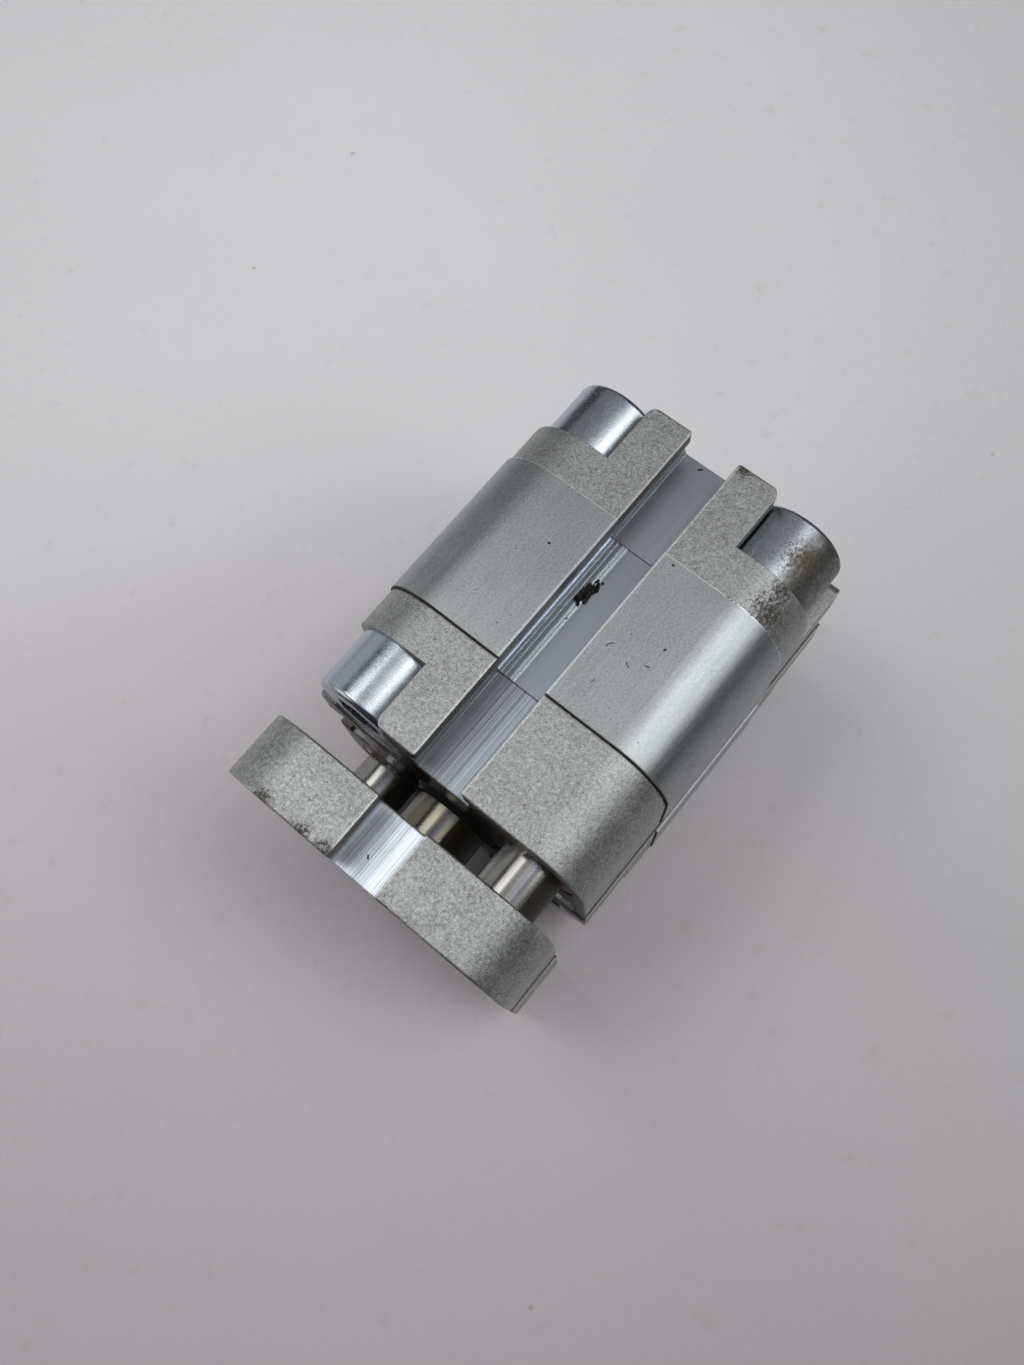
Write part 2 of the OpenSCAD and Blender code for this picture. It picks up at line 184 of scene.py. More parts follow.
class StudioSettings(bpy.types.PropertyGroup):
    """Camera, floor and lights."""

    azimuth: angle("Azimuth", "Where the camera stands round the part", 138.84)
    elevation: angle("Elevation", "How high the camera stands", 71.92)
    roll: angle("Roll", "How far the camera is turned about its own line", -9.69)
    distance: FloatProperty(
        name="Distance", description="From the camera to its aim", default=0.14241, unit="LENGTH"
    )
    aim: FloatVectorProperty(
        name="Aim",
        description="Aim point from the middle of the part",
        default=(0.00053, -0.0053, 0.0),
        subtype="XYZ",
    )
    lens: FloatProperty(name="Lens", description="Focal length in millimetres", default=29.507)
    floor: colour("Floor", "Colour of the floor", (0.80, 0.80, 0.82))
    backdrop: colour("Backdrop", "Colour behind the floor", (0.48, 0.48, 0.50))
    room: FloatProperty(
        name="Room", description="Strength of the light from all sides", default=0.03
    )
    light: FloatProperty(
        name="Light", description="Strength of all lamps together", default=1.0, min=0.0
    )


# Name, direction from the part, distance and size in metres, and power in watts
LAMPS = (
    ("key_lamp", (-0.306, 0.342, 0.889), 1.0, 0.35, 1.2),
    ("key_glow", (-0.306, 0.342, 0.889), 1.0, 0.8, 1.45),
    ("side_lamp", (-0.28, 0.70, 0.66), 1.1, 0.4, 1.2),
    ("top_lamp", (0.0, 0.0, 1.0), 1.4, 1.2, 2.3),
    ("front_lamp", (0.1, -0.45, 0.88), 1.1, 0.45, 1.85),
    ("left_window", (0.0, -0.95, 0.3), 1.2, 0.8, 0.95),
    ("front_window", (0.65, -0.65, 0.35), 1.2, 0.8, 2.2),
    ("rear_window", (-0.5, -0.5, 0.7), 1.2, 0.9, 0.5),
)

GROUPS = (
    ("cylinder_metal", MetalSettings),
    ("cylinder_soft", SoftSettings),
    ("cylinder_grime", GrimeSettings),
    ("cylinder_thread", ThreadSettings),
    ("cylinder_studio", StudioSettings),
)


# ---------------------------------------------------------------- shader maths


class Value:
    """One number that varies over a surface. Arithmetic on it adds Math nodes."""

    def __init__(self, finish, socket):
        self.finish = finish
        self.socket = socket

    def math(self, operation, *terms, clamp=False):
        """The Math node of that operation on the terms."""
        made = self.finish.node(
            "ShaderNodeMath", {"operation": operation, "use_clamp": clamp}, dict(enumerate(terms))
        )
        return Value(self.finish, made.outputs[0])

    def __add__(self, other):
        return self.math("ADD", self, other)

    def __radd__(self, other):
        return self.math("ADD", other, self)

    def __sub__(self, other):
        return self.math("SUBTRACT", self, other)

    def __rsub__(self, other):
        return self.math("SUBTRACT", other, self)

    def __mul__(self, other):
        return self.math("MULTIPLY", self, other)

    def __rmul__(self, other):
        return self.math("MULTIPLY", other, self)

    def __truediv__(self, other):
        return self.math("DIVIDE", self, other)

    def __abs__(self):
        return self.math("ABSOLUTE", self)

    def least(self, other):
        """The smaller of two values."""
        return self.math("MINIMUM", self, other)

    def most(self, other):
        """The larger of two values."""
        return self.math("MAXIMUM", self, other)

    def clamp(self):
        """The value kept between 0 and 1."""
        return self.math("ADD", self, 0.0, clamp=True)

    def rise(self, start, end):
        """0 before start and 1 after end, with a smooth step between; end may lie below start."""
        if start > end:
            return 1.0 - self.rise(end, start)
        made = self.finish.node(
            "ShaderNodeMapRange",
            {"interpolation_type": "SMOOTHSTEP"},
            {"Value": self, "From Min": start, "From Max": end},
        )
        return Value(self.finish, made.outputs["Result"])

    def between(self, start, end, soft):
        """1 from start to end, and 0 outside, over a soft border."""
        return self.rise(start - soft, start + soft) * self.rise(end + soft, end - soft)


def opaque(tint):
    """A colour ready for a socket: a link as it is, or three numbers with full opacity."""
    return tint if isinstance(tint, bpy.types.NodeSocket) else tuple(tint)[:3] + (1.0,)


class Finish:
    """A material being made: its nodes, and the patterns that the finishes share."""

    def __init__(self, name):
        self.material = bpy.data.materials.new(name)
        self.material.use_nodes = True
        self.tree = self.material.node_tree
        self.tree.nodes.clear()
        place = self.node("ShaderNodeTexCoord").outputs["Object"]
        self.point = self.node(
            "ShaderNodeVectorMath", {"operation": "SCALE"}, {"Vector": place, "Scale": PER_MM}
        ).outputs["Vector"]
        self.x, self.y, self.z = self.split(self.point)
        self.normal = self.node("ShaderNodeNewGeometry").outputs["Normal"]

    def node(self, kind, settings=None, inputs=None):
        """A node of that kind, with its settings first and then the values or links of its sockets."""
        made = self.tree.nodes.new(kind)
        for key, value in (settings or {}).items():
            setattr(made, key, value)
        for key, value in (inputs or {}).items():
            source = value.socket if isinstance(value, Value) else value
            if isinstance(source, bpy.types.NodeSocket):
                self.tree.links.new(source, made.inputs[key])
            else:
                made.inputs[key].default_value = source
        return made

    def split(self, vector):
        """The three numbers of a vector."""
        parts = self.node("ShaderNodeSeparateXYZ", {}, {"Vector": vector}).outputs
        return [Value(self, part) for part in parts]

    def noise(self, size, detail=2.0, stretch=(1.0, 1.0, 1.0), shift=0.0, rough=0.5):
        """Soft noise about 0.5, with features of a size in millimetres times the stretch along each axis."""
        scale = tuple(1.0 / (size * s) for s in stretch)
        mapped = self.node(
            "ShaderNodeMapping",
            {},
            {"Vector": self.point, "Location": (shift, 1.7 * shift, 2.3 * shift), "Scale": scale},
        ).outputs["Vector"]
        inputs = {"Vector": mapped, "Scale": 1.0, "Detail": detail, "Roughness": rough}
        return Value(self, self.node("ShaderNodeTexNoise", {}, inputs).outputs[0])

    def specks(self, size, radius, shift=0.0):
        """1 in small dots up to that radius, one in each of some cells of that size, in millimetres."""
        mapped = self.node(
            "ShaderNodeMapping",
            {},
            {"Vector": self.point, "Location": (shift, shift, shift), "Scale": (1 / size,) * 3},
        ).outputs["Vector"]
        made = self.node("ShaderNodeTexVoronoi", {}, {"Vector": mapped, "Scale": 1.0})
        keep = self.split(made.outputs["Color"])[0].rise(0.55, 0.75)
        return Value(self, made.outputs["Distance"]).rise(radius / size, 0.5 * radius / size) * keep

    def away(self, point):
        """Distance from a point, in millimetres."""
        ends = {0: self.point, 1: tuple(map(float, point))}
        made = self.node("ShaderNodeVectorMath", {"operation": "DISTANCE"}, ends)
        return Value(self, made.outputs["Value"])

    def hair(self, middle, heading, curl, length, width=0.09):
        """1 on a hair on a face: an arc of radius `curl` through its middle, hollow towards its heading."""
        turn = math.radians(heading)
        hub = (middle[0] + curl * math.cos(turn), middle[1] + curl * math.sin(turn), middle[2])
        across = abs(self.away(hub) - curl)
        return across.rise(width, 0.5 * width) * self.away(middle).rise(0.5 * length, 0.4 * length)

    def from_axis(self, point):
        """Distance from a line along X through a point, in millimetres."""
        y, z = self.y - float(point[1]), self.z - float(point[2])
        squared = y * y + z * z
        return squared.math("SQRT", squared)

    def mix(self, factor, first, second):
        """The first colour turning into the second as the factor goes from 0 to 1."""
        inputs = {0: factor, 6: opaque(first), 7: opaque(second)}
        return self.node("ShaderNodeMix", {"data_type": "RGBA"}, inputs).outputs[2]

    def shade(self, tint, value):
        """A colour made lighter or darker by a value."""
        vector = tint if isinstance(tint, bpy.types.NodeSocket) else tuple(tint)[:3]
        made = self.node("ShaderNodeVectorMath", {"operation": "SCALE"}, {0: vector, "Scale": value})
        return made.outputs["Vector"]

    def rounded(self, radius_mm):
        """The normal as if edges were rounded to that radius."""
        made = self.node("ShaderNodeBevel", {"samples": 4}, {"Radius": radius_mm * MM})
        return made.outputs["Normal"]

    def edges(self, rounded):
        """1 on sharp edges and 0 on smooth ground, from the rounded normal."""
        sides = {0: rounded, 1: self.normal}
        made = self.node("ShaderNodeVectorMath", {"operation": "DOT_PRODUCT"}, sides)
        return Value(self, made.outputs["Value"]).rise(0.995, 0.93)

    def crevices(self, reach_mm):
        """1 in inner corners and 0 on open ground."""
        settings = {"samples": 6, "only_local": True}
        made = self.node("ShaderNodeAmbientOcclusion", settings, {"Distance": reach_mm * MM})
        return 1.0 - Value(self, made.outputs["AO"])

    def bump(self, height_mm, normal=None):
        """The normal of ground raised by a height in millimetres."""
        inputs = {"Height": height_mm, "Distance": MM, "Strength": 1.0}
        if normal is not None:
            inputs["Normal"] = normal
        return self.node("ShaderNodeBump", {}, inputs).outputs["Normal"]

    def surface(self, tint, roughness, normal, metallic, uniform=None):
        """Ends the material in one Principled shader. Uniform numbers are set on its own sockets."""
        inputs = {"Base Color": opaque(tint), "Roughness": roughness, "Metallic": metallic}
        inputs["Normal"] = normal
        inputs.update(uniform or {})
        shader = self.node("ShaderNodeBsdfPrincipled", {}, inputs)
        self.node("ShaderNodeOutputMaterial", {}, {"Surface": shader.outputs["BSDF"]})
        return self.material


def paint(material, *nodes):
    """Gives CAD nodes a material through their material slots."""
    for node in nodes:
        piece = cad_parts[node]
        if not piece.material_slots:
            raise RuntimeError(f"{node} has no material slot")
        for place in piece.material_slots:
            place.material = material


# ---------------------------------------------------------------- surfaces


def mesh_piece(name, points, faces, body, material):
    """A smooth mesh piece from points in millimetres, riding on a body."""
    data = bpy.data.meshes.new(name)
    data.from_pydata((points * MM).tolist(), [], faces.tolist())
    data.polygons.foreach_set("use_smooth", np.ones(len(faces), bool))
    data.materials.append(material)
    data.update()
    if data.validate():
        raise RuntimeError(f"{name} had faces that make no sense")
    piece = bpy.data.objects.new(name, data)
    bpy.context.scene.collection.objects.link(piece)
    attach(piece, body)
    return piece


def band_faces(rings, around, closed):
    """Quads from each ring of points to the next, and from the last back to the first where closed."""
    i, j = np.meshgrid(np.arange(rings if closed else rings - 1), np.arange(around), indexing="ij")
    i2, j2 = (i + 1) % rings, (j + 1) % around
    corners = (i * around + j, i2 * around + j, i2 * around + j2, i * around + j2)
    return np.stack([c.ravel() for c in corners], 1)


def fan_faces(pole, start, around):
    """Triangles from a pole point to each step of the ring whose points begin at a start."""
    k = np.arange(around)
    return np.stack([np.full(around, pole), start + k, start + (k + 1) % around], 1)


def ball_faces(rings, around):
    """Triangles of rings closed at both ends by a pole point each. The poles are the last two points."""
    quads = band_faces(rings, around, False)
    first, last = rings * around, rings * around + 1
    near = fan_faces(first, 0, around)
    far = fan_faces(last, (rings - 1) * around, around)[:, [0, 2, 1]]
    return np.concatenate([quads[:, [0, 1, 2]], quads[:, [0, 2, 3]], near, far])


def thread_liner(radius, pitch, start, end, settings):
    """The wall of a threaded hole about the X axis, as a closed sleeve, in millimetres.

    The inner wall's radius is the hole's less a clearance, a wall and the thread's depth times its crest. The
    crest follows a triangle wave of distance over pitch less angle over a full turn. It is cut flat at both
    levels, and fades out at both ends. The outer wall is a plain tube just inside the hole.
    """
    clearance, wall, fewest_rows = 0.004, 0.02, 8
    steep, sunk, run_out = 1.35, 0.1, 0.6
    depth = settings.depth_share * pitch
    rows = max(fewest_rows, round((end - start) / pitch * settings.steps_per_turn))
    around = settings.steps_round
    along = np.linspace(start, end, rows)
    turn = np.linspace(0.0, 2 * math.pi, around, endpoint=False)
    s, t = np.meshgrid(along, turn, indexing="ij")
    wave = 1.0 - np.abs(2.0 * np.mod(s / pitch - t / (2 * math.pi), 1.0) - 1.0)
    crest = np.clip(steep * wave - sunk, 0.0, 1.0)
    fade = np.clip(np.minimum(s - start, end - s) / (run_out * pitch), 0.0, 1.0)
    inner = radius - clearance - wall - depth * crest * fade
    outer = np.full((2, around), radius - clearance)
    radii = np.concatenate([inner, outer])
    places = np.concatenate([s, np.array([[end], [start]]) * np.ones((1, around))])
    turns = np.concatenate([t, t[:2]])
    points = np.stack([places, radii * np.cos(turns), radii * np.sin(turns)], -1)
    return points.reshape(-1, 3), band_faces(rows + 2, around, True)


def laid(points, origin, axis):
    """Points made about the X axis, carried to an origin and turned so that X lies along an axis."""
    turn = Vector((1.0, 0.0, 0.0)).rotation_difference(Vector(axis)).to_matrix()
    return points @ np.array(turn).T + np.array(origin)


def lump(seed, centre, size, rings, around, roughness):
    """A crumbly lump: an ellipsoid whose radius is swollen by a sum of waves over the unit ball.

    Each wave is a sine of the height along a random direction, with a random phase. Waves of each octave are
    finer and lower than the last octave's. The lump is pressed flat below a share of its height.
    """
    octaves, waves_each, finer, lower, first_waves, flat_below = 5, 3, 1.9, 0.62, 2.2, -0.35
    random = np.random.default_rng(seed)
    lat = (np.arange(rings) + 0.5) / rings * math.pi
    lon = np.arange(around) / around * 2 * math.pi
    a, b = np.meshgrid(lat, lon, indexing="ij")
    ball = np.stack([np.sin(a) * np.cos(b), np.sin(a) * np.sin(b), np.cos(a)], -1).reshape(-1, 3)
    ball = np.concatenate([ball, [[0.0, 0.0, 1.0], [0.0, 0.0, -1.0]]])
    swell = np.zeros(len(ball))
    for octave in range(octaves):
        waves = first_waves * finer**octave
        for _ in range(waves_each):
            direction = random.normal(size=3)
            direction /= np.linalg.norm(direction)
            phase = random.uniform(0, 2 * math.pi)
            swell += lower**octave * np.sin(waves * (ball @ direction) * first_waves + phase) / waves_each
    shape = ball * (1.0 + roughness * swell)[:, None]
    shape[:, 2] = np.maximum(shape[:, 2], flat_below)
    return shape * np.array(size) / 2 + np.array(centre), ball_faces(rings, around)


def collar(centre, inner, outer, width, seed, around=96, profile=16):
    """A smear of grease round a rod along X: a half-round profile carried round the rod.

    Both the profile's reach over the rod and its width follow a sum of slow waves of the angle round it.
    """
    random = np.random.default_rng(seed)
    turn = np.arange(around) / around * 2 * math.pi
    wave = np.zeros(around)
    for count in (1, 2, 3, 5, 8):
        height = random.uniform(0.1, 0.4)
        wave += height * np.sin(count * turn + random.uniform(0, 2 * math.pi)) / count**0.5
    swell = np.clip(0.55 + 0.5 * wave, 0.12, 1.0)
    loop = np.arange(profile) / profile * 2 * math.pi
    p, t = np.meshgrid(loop, turn, indexing="ij")
    reach = swell[None, :]
    radii = inner + (outer - inner) * reach * 0.5 * (1 - np.cos(p))
    places = centre[0] + width * 0.5 * (0.6 + 0.4 * reach) * np.sin(p)
    points = np.stack([places, centre[1] + radii * np.cos(t), centre[2] + radii * np.sin(t)], -1)
    return points.reshape(-1, 3), band_faces(profile, around, True)


# ---------------------------------------------------------------- finishes


def slot_masks(f):
    """A point's way across its side, masks of the slots and their floors, its way out, and the lip edges."""
    y, z = abs(f.y), abs(f.z)
    out, across = y.most(z), y.least(z)
    inside = across.rise(SLOT_HALF_WIDTH + 0.25, SLOT_HALF_WIDTH + 0.15)
    inside = inside * out.rise(CAP_SIDE - 0.02, CAP_SIDE - 0.12)
    bottom = inside * out.rise(SLOT_FLOOR + 0.8, SLOT_FLOOR + 0.4)
    lip_edge = across.rise(SLOT_HALF_OPENING + 0.32, SLOT_HALF_OPENING + 0.2)
    lip_edge = lip_edge * out.rise(CAP_SIDE - 0.3, CAP_SIDE - 0.15)
    return across, inside, bottom, out, lip_edge


def blotches(f, shift=0.0):
    """Dry dirt: coarse patches broken up by fine grains."""
    patches, grains = f.noise(1.6, 3.0, shift=shift + 3.1), f.noise(0.3, 2.0, shift=shift + 7.7)
    return (0.55 * patches + 0.45 * grains).clamp()


def spatter(f, spots, shift=0.0):
    """Granular stains: grains of noise over a threshold that falls towards the middle of each spot."""
    grains = f.noise(0.42, 6.0, shift=shift + 1.3, rough=0.9)
    mask = None
    for point, reach in spots:
        nearness = (1.0 - f.away(point) / reach).clamp()
        spot = (grains + 0.26 * nearness).rise(0.62, 0.74).most(0.15 * nearness.rise(0.1, 0.9))
        spot = spot * nearness.rise(0.0, 0.25)
        mask = spot if mask is None else mask.most(spot)
    return mask


def slot_dirt_and_shade(f, across, inside, out):
    """Dirt and painted shade on the inner edges of the slots' lips, and a thin veil of painted shade in the
    hollows behind them.
    """
    dirt = blotches(f, 2.0)
    lip_back = CAP_SIDE - LIP_THICKNESS
    lip = 0.7 * inside * across.rise(SLOT_HALF_OPENING - 0.25, SLOT_HALF_OPENING - 0.05)
    lip = lip * out.rise(lip_back - 0.2, lip_back + 0.2) * dirt.rise(0.05, 0.45)
    # The veil darkens the undercut hollows behind the lips: painted shade
    veil = inside * across.rise(SLOT_HALF_OPENING, SLOT_HALF_OPENING + 0.3)
    veil = veil * out.rise(SLOT_FLOOR + 0.4, SLOT_FLOOR + 1.2) * dirt.rise(0.30, 0.60) * 0.2
    return lip.most(veil)


def drawn_lines(f, shift=0.0):
    """Fine, sharp lines along X, as on a machined or drawn floor, about 0.5."""
    thin = f.noise(0.13, 2.0, stretch=(400.0, 1.0, 1.0), shift=shift + 1.0, rough=0.8)
    wide = f.noise(0.5, 2.0, stretch=(300.0, 1.0, 1.0), shift=shift + 6.0)
    return thin.rise(0.28, 0.72) * 0.7 + wide.rise(0.3, 0.7) * 0.3


def blasted_aluminium(
    name, metal, grime, floor_tone, lined, patchy, spots, greasy_shaded_face=None, seam=None, hairs=()
):
    """Gritty die-cast aluminium with bare slot floors, dirt and painted shade in its corners, and brown
    stains.

    The slot floors have a tone and a share of drawn lines. An end face in a gap, darkened with painted shade
    and grease, and a dirty seam are given by their places along X and the direction in which the metal lies
    from them. A bright seam is painted lighter outside the slots: a painted highlight, and polished metal
    too.
    """
    f = Finish(name)
    across, inside, bottom, out, lip_edge = slot_masks(f)
    grit = f.noise(metal.grit_size, 4.0, rough=0.62)
    fine = f.noise(metal.grit_size * 0.35, 2.0, shift=5.0)
    patch = f.noise(2.2, 3.0, shift=9.0)
    blotch = f.noise(6.0, 2.0, shift=11.0)
    rounded = f.rounded(metal.edge_radius)
    edge = f.edges(rounded)
    lines = drawn_lines(f)
    tone = 1.0 + (1.1 + patchy) * (grit - 0.5) + 1.4 * (fine - 0.5)
    # The last term lights the peaks of the fine grain: painted glints
    tone = tone + 0.7 * patchy * (patch - 0.5) + 0.3 * (blotch - 0.5) + 0.3 * fine.rise(0.60, 0.72)
    # Sharp edges and the lips' edges are painted lighter: a painted highlight, and worn metal too
    tint = f.shade(metal.blasted, tone + 0.5 * edge.most(lip_edge))
    tint = f.mix(bottom, tint, f.shade(metal.milled, floor_tone * (1.0 + 1.3 * lined * (lines - 0.5))))
    dirt = blotches(f)
    # Inner corners are darkened towards the dust colour from ambient occlusion: painted shade, broken up as
    # dirt
    corner = f.crevices(0.7).rise(0.35, 0.8) * (1.0 - bottom) * dirt.rise(0.44, 0.62)
    mask = corner.most(slot_dirt_and_shade(f, across, inside, out)).most(0.8 * f.specks(1.4, 0.11))
    if spots:
        mask = mask.most(spatter(f, spots))
    if seam:
        place, side, bright = seam
        near = (side * (f.x - place)).rise(0.18, 0.06)
        if bright:
            # A thin band by the joint is painted near white: a painted highlight along the edge, and polished
            # metal too
            tint = f.mix(near * (1.0 - bottom) * 0.8, tint, (0.80, 0.81, 0.81))
            near = near * bottom.most(dirt.rise(0.55, 0.62))
        mask = mask.most(near)
    mask = (mask * grime.amount).clamp()
    tint = f.mix(mask, tint, f.shade(grime.dust, 1.1 - 0.9 * mask * fine))
    grease = 0.0
    if greasy_shaded_face:
        face, side = greasy_shaded_face
        # The end face in the gap is darkened towards the grease colour: painted shade, with some grease
        grease = (side * (f.x - face)).rise(0.35, 0.05) * f.from_axis((0.0, 0.0, 0.0)).rise(24.0, 16.0)
        grease = grease * (0.35 + dirt).rise(0.5, 0.8)
        tint = f.mix(grease * 0.92, tint, grime.grease)
    for hair in hairs:
        tint = f.mix(f.hair(*hair), tint, grime.crumb)
    roughness = 0.47 + 0.20 * (patch - 0.5) + 0.16 * (grit - 0.5) - 0.12 * bottom - 0.06 * edge
    roughness = (roughness + 0.22 * mask - 0.10 * grease).clamp()
    height = (0.030 * grit + 0.012 * fine) * (1.0 - bottom) + 0.010 * lined * lines * bottom
    height = height + 0.015 * mask
    metallic = 1.0 - 0.85 * mask.most(grease)
    return f.surface(tint, roughness, f.bump(height, rounded), metallic, {"Specular IOR Level": 0.25})


def extruded_aluminium(name, metal, grime, hairs):
    """Satin extrusion with fine grain along X, bare slot floors with painted highlights on the ribs, nicks
    and a few hairs.
    """
    f = Finish(name)
    across, inside, bottom, out, lip_edge = slot_masks(f)
    streak = f.noise(metal.streak_size, 3.0, stretch=(50.0, 1.0, 1.0), rough=0.65)
    wide = f.noise(0.5, 2.0, stretch=(40.0, 1.0, 1.0), shift=4.0)
    grain = f.noise(0.30, 4.0, shift=9.0, rough=0.7)
    blotch = f.noise(5.0, 3.0, shift=14.0)
    rounded = f.rounded(0.35 * metal.edge_radius)
    edge = f.edges(rounded)
    tone = 1.0 + 0.2 * (streak - 0.5) + 0.2 * (wide - 0.5) + 1.15 * (grain - 0.5)
    tone = tone + 0.25 * (blotch - 0.5)
    # The ribs' tops on the slot floors are painted lighter below: a painted highlight
    rib = bottom * out.rise(SLOT_FLOOR + 0.06, SLOT_FLOOR + 0.14)
    # Sharp edges and the lips' edges are painted lighter: a painted highlight, and worn metal too
    tint = f.shade(metal.extruded, tone + 0.6 * edge.most(lip_edge))
    tint = f.mix(bottom, tint, f.shade(metal.milled, 0.80 + 0.16 * (wide - 0.5) + 1.1 * rib))
    dirt = blotches(f, 2.0)
    # Inner corners are darkened towards the dust colour from ambient occlusion: painted shade, broken up as
    # dirt
    corner = f.crevices(0.6).rise(0.4, 0.85) * (1.0 - bottom) * dirt.rise(0.42, 0.62)
    start, end = low("barrel")[0], high("barrel")[0]
    rear, front = (f.x - start).rise(0.16, 0.05), (f.x - end).rise(-0.16, -0.05)
    mark = f.specks(1.35, 0.11, 3.0).most(front.most(rear * bottom.most(dirt.rise(0.57, 0.63))))
    # The barrel's rear end by the joint is painted near white: a painted highlight along the edge, and
    # polished metal too
    tint = f.mix(rear * (1.0 - bottom) * 0.8, tint, (0.78, 0.80, 0.80))
    mask = (corner.most(slot_dirt_and_shade(f, across, inside, out)) * grime.amount).most(0.9 * mark).clamp()
    tint = f.mix(mask, tint, f.shade(grime.dust, 0.2 + 1.0 * grain))
    for hair in hairs:
        tint = f.mix(f.hair(*hair), tint, grime.crumb)
    roughness = (0.37 + 0.14 * (grain - 0.5) + 0.12 * (wide - 0.5) - 0.12 * rib + 0.3 * mask).clamp()
    height = 0.0035 * streak + 0.010 * grain * (1.0 - bottom) - 0.012 * mark
    return f.surface(tint, roughness, f.bump(height, rounded), 1.0 - 0.85 * mask)


def zinc_plating(name, metal, grime, film_and_shade=None, spots=()):
    """Bright bluish zinc on turned steel: fine rings, dulled patches, specks and some brown stain.

    A dark veil, where there is one, lies past a place along Y and fades in over a reach: painted shade on the
    head's +Y side, with a brown stain.
    """
    f = Finish(name)
    ring = f.noise(0.10, 3.0, stretch=(1.0, 40.0, 40.0), shift=1.0, rough=0.7)
    cloud = f.noise(1.6, 3.0, shift=6.0)
    grain = f.noise(0.25, 3.0, shift=3.0)
    rounded = f.rounded(0.2)
    tint = f.shade(metal.zinc, 0.46 + 0.22 * cloud + 0.62 * grain + 0.22 * ring)
    dirt = blotches(f, 4.0)
    # Inner corners are darkened towards the dust colour from ambient occlusion: painted shade, broken up as
    # dirt
    mask = f.crevices(0.6).rise(0.4, 0.85) * dirt.rise(0.4, 0.6)
    mask = mask.most(0.7 * f.specks(1.7, 0.13, 5.0))
    if film_and_shade:
        start, reach = film_and_shade
        # The head's +Y side is darkened towards the grease colour: painted shade, with a brown stain
        veil = f.y.rise(start, start + reach) * (0.35 + 0.65 * dirt.rise(0.25, 0.60))
        tint = f.mix(0.75 * veil, tint, f.shade(grime.grease, 2.2))
        mask = mask.most(0.5 * veil)
    if spots:
        mask = mask.most(spatter(f, spots, 4.0))
    mask = (mask * grime.amount).clamp()
    tint = f.mix(mask, tint, grime.dust)
    roughness = (0.25 + 0.14 * (cloud - 0.5) + 0.14 * (grain - 0.5) + 0.30 * mask).clamp()
    return f.surface(tint, roughness, f.bump(0.0015 * ring + 0.004 * grain, rounded), 1.0 - 0.8 * mask)


def ground_steel(name, metal, grime, front, shade_and_grease_from, haze):
    """Ground rod with fine rings, a brownish haze, a bluish band that is a painted reflection, and old brown
    grease.

    The grease colour lies past a place along Y as painted shade on the rod's +Y side, and as grease in a ring
    where the rod leaves the cap at its front.
    """
    f = Finish(name)
    ring = f.noise(0.05, 3.0, stretch=(1.0, 50.0, 50.0), rough=0.7)
    cloud = f.noise(1.8, 3.0, shift=2.0)
    dirt = blotches(f, 6.0)
    # The rod's +Y side is darkened towards the grease colour: painted shade. The ring where the rod leaves
    # the cap is grease
    film_and_shade = (f.y + 0.7 * (dirt - 0.5)).rise(shade_and_grease_from, shade_and_grease_from + 0.25)
    film_and_shade = film_and_shade.most(f.x.between(front - 1.0, front + 0.5, 0.3) * dirt.rise(0.4, 0.55))
    # A bluish dark band just short of the shaded side: a painted reflection
    band = (f.y - shade_and_grease_from).between(-1.6, -0.7, 0.25) * 0.55
    tint = f.mix(haze, f.shade(metal.steel, 0.50 + 0.2 * ring + 0.3 * cloud), (0.15, 0.145, 0.095))
    tint = f.mix(band, tint, (0.10, 0.10, 0.16))
    tint = f.mix(film_and_shade * 0.93, tint, grime.grease)
    roughness = (0.17 + 0.10 * (cloud - 0.5) + 0.06 * ring + 0.20 * film_and_shade).clamp()
    normal = f.bump(0.0008 * ring, f.rounded(0.15))
    return f.surface(tint, roughness, normal, 1.0 - 0.85 * film_and_shade, {"Specular IOR Level": 0.2})


def turned_metal(name, tint, roughness):
    """Turned metal: fine rings along X, with slow changes in shine."""
    f = Finish(name)
    ring = f.noise(0.06, 3.0, stretch=(1.0, 30.0, 30.0), rough=0.7)
    cloud = f.noise(1.5, 3.0, shift=2.0)
    shaded = f.shade(tint, 0.84 + 0.16 * ring + 0.14 * cloud)
    rough = (roughness + 0.14 * (cloud - 0.5) + 0.06 * (ring - 0.5)).clamp()
    return f.surface(shaded, rough, f.bump(0.003 * ring, f.rounded(0.1)), 1.0)


def black_oxide(name, metal):
    """Blackened screw with worn, slightly brown edges."""
    f = Finish(name)
    grain = f.noise(0.18, 3.0)
    cloud = f.noise(1.2, 2.0, shift=4.0)
    rounded = f.rounded(0.18)
    wear = f.edges(rounded) * cloud.rise(0.4, 0.62)
    tint = f.mix(wear * 0.7, f.shade(metal.black, 0.7 + 0.6 * cloud), (0.20, 0.17, 0.14))
    roughness = (0.42 + 0.2 * (grain - 0.5) - 0.08 * wear).clamp()
    return f.surface(tint, roughness, f.bump(0.006 * grain, rounded), 0.85)


def polymer(name, tint, roughness, mottle=0.3):
    """Moulded rubber or plastic: slightly mottled colour, fine orange peel and dull patches."""
    f = Finish(name)
    grain = f.noise(0.12, 3.0)
    cloud = f.noise(1.1, 2.0, shift=4.0)
    shaded = f.shade(tint, 1.0 - mottle / 2 + mottle * cloud)
    rough = (roughness + 0.16 * (cloud - 0.5) + 0.1 * (grain - 0.5)).clamp()
    return f.surface(shaded, rough, f.bump(0.004 * grain, f.rounded(0.1)), 0.0)


